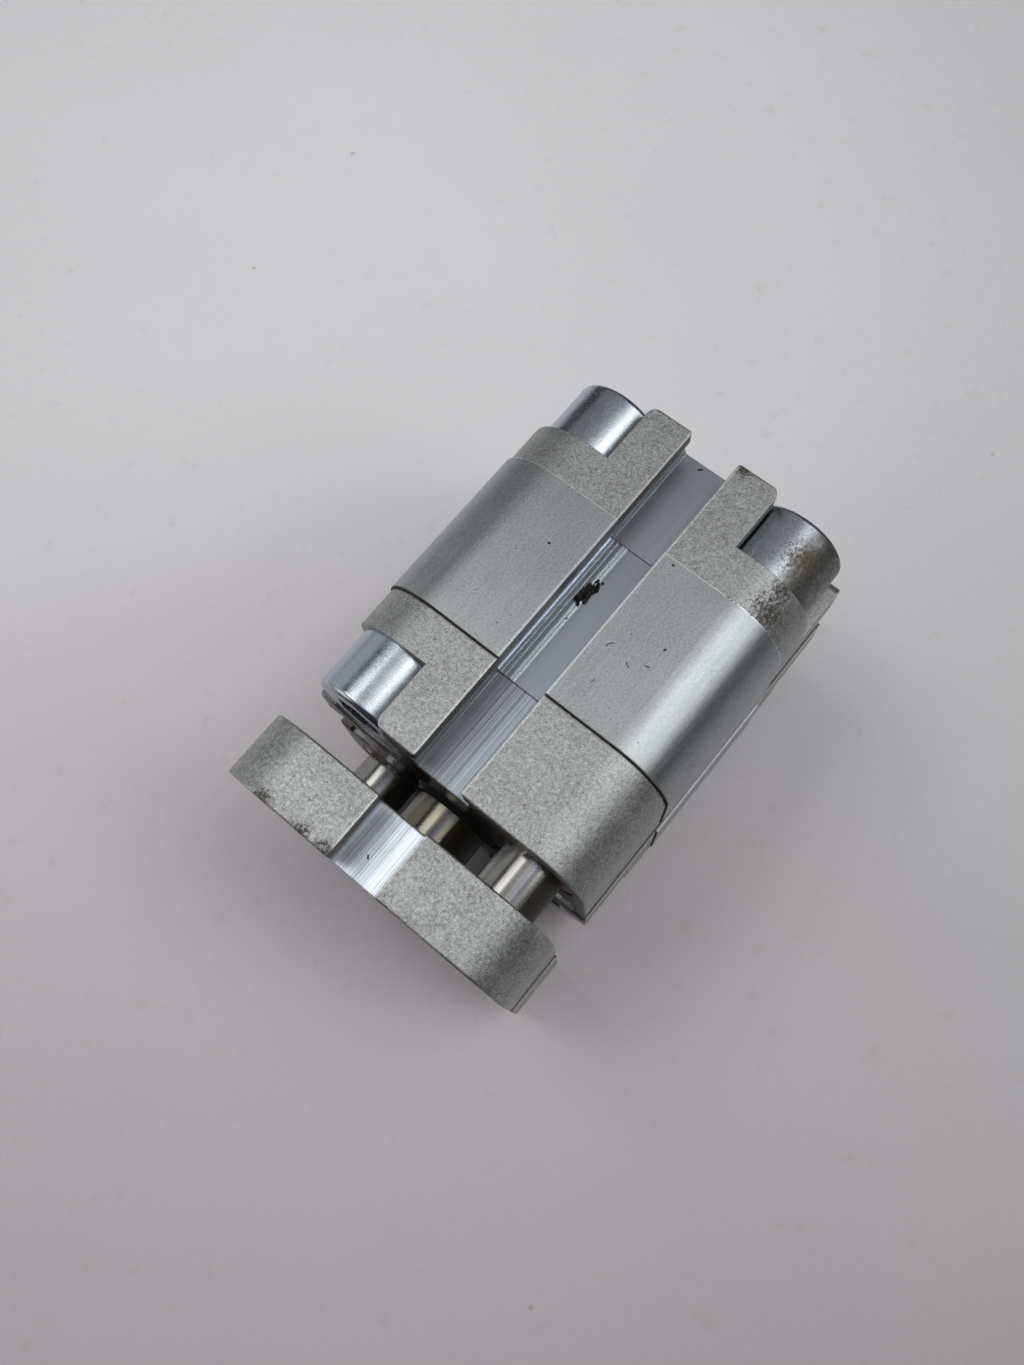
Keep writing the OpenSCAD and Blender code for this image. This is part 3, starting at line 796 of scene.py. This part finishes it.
def old_grease(name, tint, roughness, bump_mm):
    """Old grease and crumbs: dark, lumpy and half wet."""
    f = Finish(name)
    grain = f.noise(0.16, 4.0)
    cloud = f.noise(0.5, 3.0, shift=4.0)
    shaded = f.shade(tint, 0.6 + 0.9 * cloud)
    rough = (roughness + 0.3 * (grain - 0.5)).clamp()
    return f.surface(shaded, rough, f.bump(bump_mm * grain), 0.0)


# ---------------------------------------------------------------- operators


class CYLINDER_OT_barrel(bpy.types.Operator):
    """Finish the extruded barrel"""

    bl_idname = "cylinder.barrel"
    bl_label = "Barrel"

    def execute(self, context):
        scene = context.scene
        top = high("barrel")[2]
        # Middle, heading in degrees, radius of the curl, length, and sometimes width
        hairs = (
            ((21.3, -7.5, top), 20.0, 2.0, 0.5, 0.14),
            ((26.5, 5.2, top), 60.0, 0.8, 1.1, 0.07),
            ((27.3, 8.2, top), 150.0, 0.6, 0.8, 0.08),
            ((26.1, 10.0, top), 200.0, 1.1, 0.6),
            ((23.4, 10.3, top), 80.0, 0.7, 0.5, 0.12),
            ((14.9, 5.0, top), 30.0, 2.0, 0.4, 0.16),
            ((31.0, 6.4, top), 260.0, 1.3, 0.7, 0.05),
        )
        metal, grime = scene.cylinder_metal, scene.cylinder_grime
        paint(extruded_aluminium("extruded_aluminium", metal, grime, hairs), "barrel")
        return {"FINISHED"}


class CYLINDER_OT_caps(bpy.types.Operator):
    """Finish the rear and front caps, with the stain on the rear cap's corner"""

    bl_idname = "cylinder.caps"
    bl_label = "Caps"

    def execute(self, context):
        scene = context.scene
        metal, grime = scene.cylinder_metal, scene.cylinder_grime
        corner = high("rear_cap")
        # Middle and reach of each stain
        spots = (
            ((12.4, corner[1] - 4.0, corner[2] - 2.2), 4.6),
            ((9.6, corner[1] - 4.4, corner[2] - 1.6), 2.6),
            ((0.5, 4.3, corner[2]), 1.6),
        )
        rear = blasted_aluminium(
            "blasted_rear_cap",
            metal,
            grime,
            floor_tone=0.86,
            lined=0.16,
            patchy=0.25,
            spots=spots,
            seam=(corner[0], -1.0, True),
            hairs=(((0.7, -1.1, SLOT_FLOOR), 40.0, 1.0, 0.7, 0.16),),
        )
        paint(rear, "rear_cap")
        start, front = low("front_cap"), high("front_cap")
        cap = blasted_aluminium(
            "blasted_front_cap",
            metal,
            grime,
            floor_tone=0.80,
            lined=0.8,
            patchy=0.45,
            spots=(((36.5, 15.0, 17.5), 1.8),),
            greasy_shaded_face=(front[0], -1.0),
            seam=(start[0], 1.0, False),
        )
        paint(cap, "front_cap")
        return {"FINISHED"}


class CYLINDER_OT_plate(bpy.types.Operator):
    """Finish the guide plate, with dirt along its front edge"""

    bl_idname = "cylinder.plate"
    bl_label = "Guide plate"

    def execute(self, context):
        scene = context.scene
        edge = high("guide_plate")
        spots = (
            ((edge[0], -7.3, edge[2]), 2.2),
            ((edge[0], -3.9, edge[2]), 2.4),
            ((edge[0], -13.0, edge[2]), 2.4),
        )
        back = low("guide_plate")[0]
        plate = blasted_aluminium(
            "blasted_guide_plate",
            scene.cylinder_metal,
            scene.cylinder_grime,
            floor_tone=1.7,
            lined=0.9,
            patchy=0.8,
            spots=spots,
            greasy_shaded_face=(back, 1.0),
            hairs=(((60.5, -1.2, SLOT_FLOOR), 130.0, 1.5, 0.6, 0.14),),
        )
        paint(plate, "guide_plate")
        return {"FINISHED"}


class CYLINDER_OT_collar_screws(bpy.types.Operator):
    """Finish the zinc-plated collar screws and cut the threads in the rear ones"""

    bl_idname = "cylinder.collar_screws"
    bl_label = "Collar screws"

    def execute(self, context):
        scene = context.scene
        metal, grime, thread = scene.cylinder_metal, scene.cylinder_grime, scene.cylinder_thread
        clean = zinc_plating("zinc_plated", metal, grime)
        head, top = middle("rear_screw_upper_right"), high("rear_screw_upper_right")
        spots = (((4.8, head[1] + 2.6, top[2] - 0.9), 5.4),)
        # This head's +Y side carries painted shade as well as stains
        stained = zinc_plating("zinc_plated_stained", metal, grime, (head[1] + 0.2, 3.0), spots)
        paint(clean, *REAR_SCREWS, *FRONT_SCREWS)
        paint(stained, "rear_screw_upper_right")
        cut = turned_metal("cut_thread", metal.zinc, 0.3)
        radius, margin = 2.5, 0.02
        start, end = 4.0 + margin, 11.0 - margin
        for node in REAR_SCREWS:
            place = middle(node)
            points, faces = thread_liner(radius, thread.head_pitch, start, end, thread)
            points = laid(points, (low(node)[0], place[1], place[2]), (1.0, 0.0, 0.0))
            name = node.replace("screw", "thread")
            mesh_piece(name, points, faces, HOUSING, cut)
        return {"FINISHED"}


class CYLINDER_OT_ports(bpy.types.Operator):
    """Cut the threads in the two supply ports"""

    bl_idname = "cylinder.ports"
    bl_label = "Supply ports"

    def execute(self, context):
        scene = context.scene
        thread = scene.cylinder_thread
        cut = turned_metal("tapped_aluminium", scene.cylinder_metal.milled, 0.32)
        radius, place, start, deep = 2.5, 11.0, 5.6, 5.4
        side = low("rear_cap")[1]
        ports = (("rear_port_thread", place), ("front_port_thread", high("front_cap")[0] - place))
        for name, x in ports:
            points, faces = thread_liner(radius, thread.head_pitch, start, start + deep, thread)
            points = laid(points, (x, side, 0.0), (0.0, 1.0, 0.0))
            mesh_piece(name, points, faces, HOUSING, cut)
        return {"FINISHED"}


class CYLINDER_OT_rods(bpy.types.Operator):
    """Finish the piston rod and guide rods, with old grease where they leave the front cap"""

    bl_idname = "cylinder.rods"
    bl_label = "Rods"

    def execute(self, context):
        scene = context.scene
        metal, grime = scene.cylinder_metal, scene.cylinder_grime
        front = high("front_cap")[0]
        piston_steel = ground_steel("ground_piston_rod", metal, grime, front, shade_and_grease_from=1.7, haze=0.75)
        paint(piston_steel, "piston_rod")
        for node in GUIDE_RODS:
            shade_and_grease_from = middle(node)[1] + 2.1
            paint(ground_steel("ground_" + node, metal, grime, front, shade_and_grease_from, haze=0.15), node)
        grease = old_grease("old_grease", grime.grease, 0.34, 0.03)
        rod = high("piston_rod")
        centre = (front + 0.25, 0.0, 0.0)
        points, faces = collar(centre, inner=rod[1] + 0.03, outer=rod[1] + 0.75, width=0.9, seed=5)
        mesh_piece("rod_grease", points, faces, HOUSING, grease)
        return {"FINISHED"}


class CYLINDER_OT_bearings(bpy.types.Operator):
    """Finish the bearing bushes, the wiper, the seals and the rings"""

    bl_idname = "cylinder.bearings"
    bl_label = "Bearings and seals"

    def execute(self, context):
        metal, soft = context.scene.cylinder_metal, context.scene.cylinder_soft
        paint(
            turned_metal("bearing_bronze", metal.bronze, 0.36),
            "rod_bush",
            "guide_bush_upper_right",
            "guide_bush_lower_left",
        )
        paint(
            polymer("polyurethane", soft.polyurethane, 0.42),
            "rod_seal",
            "rear_cushion_ring",
            "front_cushion_ring",
            "rear_piston_seal",
            "front_piston_seal",
        )
        paint(polymer("nitrile", soft.nitrile, 0.55, 0.5), "rear_o_ring", "front_o_ring", "rod_wiper")
        return {"FINISHED"}


class CYLINDER_OT_piston(bpy.types.Operator):
    """Finish the piston's discs, magnet, band and nut"""

    bl_idname = "cylinder.piston"
    bl_label = "Piston"

    def execute(self, context):
        metal, soft = context.scene.cylinder_metal, context.scene.cylinder_soft
        discs = turned_metal("turned_aluminium", metal.milled, 0.34)
        paint(discs, "rear_piston_disc", "front_piston_disc")
        paint(polymer("magnet_ring", soft.magnet, 0.5, 0.4), "magnet_ring")
        paint(polymer("guide_band", soft.band, 0.45, 0.3), "piston_guide_band")
        paint(turned_metal("zinc_nut", metal.zinc, 0.3), "piston_nut")
        return {"FINISHED"}


class CYLINDER_OT_plate_screws(bpy.types.Operator):
    """Finish the plate's screws and cut the plate's threads"""

    bl_idname = "cylinder.plate_screws"
    bl_label = "Plate screws and threads"

    def execute(self, context):
        scene = context.scene
        thread = scene.cylinder_thread
        paint(
            black_oxide("black_oxide", scene.cylinder_metal),
            "plate_screw",
            "guide_rod_screw_upper_right",
            "guide_rod_screw_lower_left",
        )
        cut = turned_metal("tapped_plate", scene.cylinder_metal.milled, 0.32)
        back, face = low("guide_plate")[0], high("guide_plate")[0]
        radius, half_pitch, margin = 2.0, 7.0, 0.25
        start, end = back + margin, face - margin
        corners = (
            ("upper_left", -1, 1),
            ("upper_right", 1, 1),
            ("lower_left", -1, -1),
            ("lower_right", 1, -1),
        )
        for place, side, up in corners:
            points, faces = thread_liner(radius, thread.plate_pitch, start, end, thread)
            points = laid(points, (0.0, side * half_pitch, up * half_pitch), (1.0, 0.0, 0.0))
            mesh_piece("plate_thread_" + place, points, faces, PISTON, cut)
        return {"FINISHED"}


class CYLINDER_OT_crumbs(bpy.types.Operator):
    """Put the crumbly lump and the loose crumbs in the top slot"""

    bl_idname = "cylinder.crumbs"
    bl_label = "Slot crumbs"

    def execute(self, context):
        grime = context.scene.cylinder_grime
        black = old_grease("black_crumb", grime.crumb, 0.5, 0.06)
        x, y = 21.9, -1.85
        # Name, seed, place along and across from the lump, and size along each axis
        bits = (
            ("slot_lump", 3, (0.0, 0.0), (grime.lump, 1.05, 1.2)),
            ("slot_crumb_a", 4, (-1.0, 0.35), (0.9, 0.7, 0.8)),
            ("slot_crumb_b", 7, (-1.9, 0.45), (0.6, 0.4, 0.4)),
            ("slot_crumb_c", 9, (-1.4, 0.75), (0.5, 0.3, 0.3)),
            ("slot_crumb_d", 12, (0.9, -0.5), (0.8, 0.5, 0.6)),
            ("slot_crumb_e", 15, (1.5, 0.2), (0.4, 0.3, 0.3)),
            ("slot_crumb_f", 18, (-2.4, 0.75), (0.3, 0.25, 0.25)),
            ("slot_crumb_g", 21, (3.6, 0.2), (0.25, 0.2, 0.2)),
        )
        for name, seed, (along, across), extent in bits:
            centre = (x + along, y + across, SLOT_FLOOR + 0.36 * extent[2] / 2 + 0.12)
            rings, around = (40, 64) if extent[0] > 0.85 else (14, 22)
            points, faces = lump(seed, centre, extent, rings, around, roughness=0.46)
            mesh_piece(name, points, faces, HOUSING, black)
        random = np.random.default_rng(5)
        for i in range(16):
            along = random.normal(-0.3, 1.0)
            across = random.normal(0.1, 0.42)
            grain = random.uniform(0.16, 0.5)
            extent = (grain, 0.8 * grain, 0.8 * grain)
            centre = (x + along, y + across, SLOT_FLOOR + 0.36 * extent[2] / 2 + 0.10)
            points, faces = lump(40 + i, centre, extent, rings=12, around=18, roughness=0.4)
            mesh_piece(f"slot_grain_{i}", points, faces, HOUSING, black)
        return {"FINISHED"}


class CYLINDER_OT_stage(bpy.types.Operator):
    """Set the floor, the lights, the room and the camera"""

    bl_idname = "cylinder.stage"
    bl_label = "Stage"

    def execute(self, context):
        scene = context.scene
        studio = scene.cylinder_studio
        centre = (CAD_LOW + CAD_HIGH) / 2
        self.floor(scene, studio)
        for name, direction, distance, size, power in LAMPS:
            self.lamp(scene, name, centre, direction, distance, size, power * studio.light)
        self.room(scene, studio)
        self.camera(scene, studio, centre)
        scene.view_settings.view_transform = "Standard"
        return {"FINISHED"}

    def floor(self, scene, studio):
        """A flat disc: points at a radius and an angle, closed by its middle point.

        The radii grow with the square of the ring's number. The floor is painted lightest about one point and
        darker away from it, a painted pool of light, and pinkish about another.
        """
        bottom = CAD_LOW.z * PER_MM
        f = Finish("pale_floor")
        paper = f.noise(0.5, 3.0)
        # Painted light: a pool of light round one point, fading to painted shade further off
        away = f.away((-13.0, -96.0, bottom)) / 100.0
        tone = (1.27 - 0.135 * away * away).most(0.68)
        tone = tone + 0.05 * (f.noise(30.0, 2.0) - 0.5) + 0.06 * (f.noise(0.8, 3.0) - 0.5)
        near = f.away((120.0, 20.0, bottom)).rise(150.0, 60.0)
        tint = f.mix(near, f.shade(studio.floor, tone), f.shade((0.72, 0.665, 0.70), tone))
        smudge = f.noise(3.0, 4.0, shift=2.0).rise(0.60, 0.80) * 0.10
        tint = f.mix(smudge.most(0.35 * f.specks(9.0, 0.5)), tint, (0.25, 0.22, 0.20))
        roughness = (0.62 + 0.08 * (paper - 0.5)).clamp()
        material = f.surface(tint, roughness, f.bump(0.01 * paper), 0.0, {"Specular IOR Level": 0.3})
        radius, rings, around = 0.9, 24, 96
        radii = radius * np.linspace(0.0, 1.0, rings + 1)[1:] ** 2
        turn = np.arange(around) / around * 2 * math.pi
        r, t = np.meshgrid(radii, turn, indexing="ij")
        points = np.stack([r * np.cos(t), r * np.sin(t), np.full_like(r, CAD_LOW.z)], -1).reshape(-1, 3)
        points = np.concatenate([points, [[0.0, 0.0, CAD_LOW.z]]])
        quads = band_faces(rings, around, False)
        fan = fan_faces(len(points) - 1, 0, around)
        data = bpy.data.meshes.new("floor")
        data.from_pydata(points.tolist(), [], quads.tolist() + fan.tolist())
        data.materials.append(material)
        data.update()
        piece = bpy.data.objects.new("floor", data)
        scene.collection.objects.link(piece)

    def lamp(self, scene, name, centre, direction, distance, size, power):
        """A square soft light that faces the part."""
        data = bpy.data.lights.new(name, "AREA")
        data.shape = "SQUARE"
        data.size = size
        data.energy = power
        lamp = bpy.data.objects.new(name, data)
        scene.collection.objects.link(lamp)
        back = Vector(direction).normalized()
        lamp.location = centre + back * distance
        lamp.rotation_mode = "QUATERNION"
        lamp.rotation_quaternion = back.to_track_quat("Z", "Y")
        lamp.visible_camera = False

    def room(self, scene, studio):
        """Even light from all sides, and a pale backdrop where the floor ends."""
        world = bpy.data.worlds.new("room")
        world.use_nodes = True
        nodes, links = world.node_tree.nodes, world.node_tree.links
        nodes.clear()
        path = nodes.new("ShaderNodeLightPath")
        dim, pale = nodes.new("ShaderNodeBackground"), nodes.new("ShaderNodeBackground")
        dim.inputs["Color"].default_value = (0.96, 0.98, 1.0, 1.0)
        dim.inputs["Strength"].default_value = studio.room
        pale.inputs["Color"].default_value = tuple(studio.backdrop) + (1.0,)
        mix, end = nodes.new("ShaderNodeMixShader"), nodes.new("ShaderNodeOutputWorld")
        links.new(path.outputs["Is Camera Ray"], mix.inputs["Fac"])
        links.new(dim.outputs["Background"], mix.inputs[1])
        links.new(pale.outputs["Background"], mix.inputs[2])
        links.new(mix.outputs["Shader"], end.inputs["Surface"])
        scene.world = world

    def camera(self, scene, studio, centre):
        """A camera on a line from its aim by azimuth and elevation, turned about that line by its roll."""
        a, e, r = studio.azimuth, studio.elevation, studio.roll
        back = Vector((math.sin(a) * math.cos(e), -math.cos(a) * math.cos(e), math.sin(e)))
        level_right = Vector((0.0, 0.0, 1.0)).cross(back).normalized()
        level_up = back.cross(level_right)
        right = level_right * math.cos(r) + level_up * math.sin(r)
        up = back.cross(right)
        data = bpy.data.cameras.new("camera")
        data.lens = studio.lens
        data.sensor_width = 36.0
        data.clip_start, data.clip_end = 0.005, 20.0
        camera = bpy.data.objects.new("camera", data)
        scene.collection.objects.link(camera)
        turn = Matrix((right, up, back)).transposed()
        place = centre + Vector(studio.aim) + back * studio.distance
        camera.matrix_world = Matrix.Translation(place) @ turn.to_4x4()
        scene.camera = camera


OPERATORS = (
    CYLINDER_OT_barrel,
    CYLINDER_OT_caps,
    CYLINDER_OT_plate,
    CYLINDER_OT_collar_screws,
    CYLINDER_OT_ports,
    CYLINDER_OT_rods,
    CYLINDER_OT_bearings,
    CYLINDER_OT_piston,
    CYLINDER_OT_plate_screws,
    CYLINDER_OT_crumbs,
    CYLINDER_OT_stage,
)


class CYLINDER_PT_panel(bpy.types.Panel):
    """Lists the settings and the operators"""

    bl_label = "Guided cylinder"
    bl_idname = "CYLINDER_PT_panel"
    bl_space_type = "VIEW_3D"
    bl_region_type = "UI"
    bl_category = "Cylinder"

    def draw(self, context):
        layout = self.layout
        for attribute, group in GROUPS:
            box = layout.box()
            settings = getattr(context.scene, attribute)
            for key in group.__annotations__:
                box.prop(settings, key)
        for operator in OPERATORS:
            layout.operator(operator.bl_idname)


def register():
    """Registers the groups, operators and panel."""
    for attribute, group in GROUPS:
        bpy.utils.register_class(group)
        setattr(bpy.types.Scene, attribute, PointerProperty(type=group))
    for kind in (*OPERATORS, CYLINDER_PT_panel):
        bpy.utils.register_class(kind)


def unregister():
    """Takes them away again."""
    for kind in (CYLINDER_PT_panel, *reversed(OPERATORS)):
        bpy.utils.unregister_class(kind)
    for attribute, group in reversed(GROUPS):
        delattr(bpy.types.Scene, attribute)
        bpy.utils.unregister_class(group)


def main():
    """Runs every operator in order."""
    register()
    for operator in OPERATORS:
        group, name = operator.bl_idname.split(".")
        getattr(getattr(bpy.ops, group), name)()


if __name__ == "__main__":
    main()
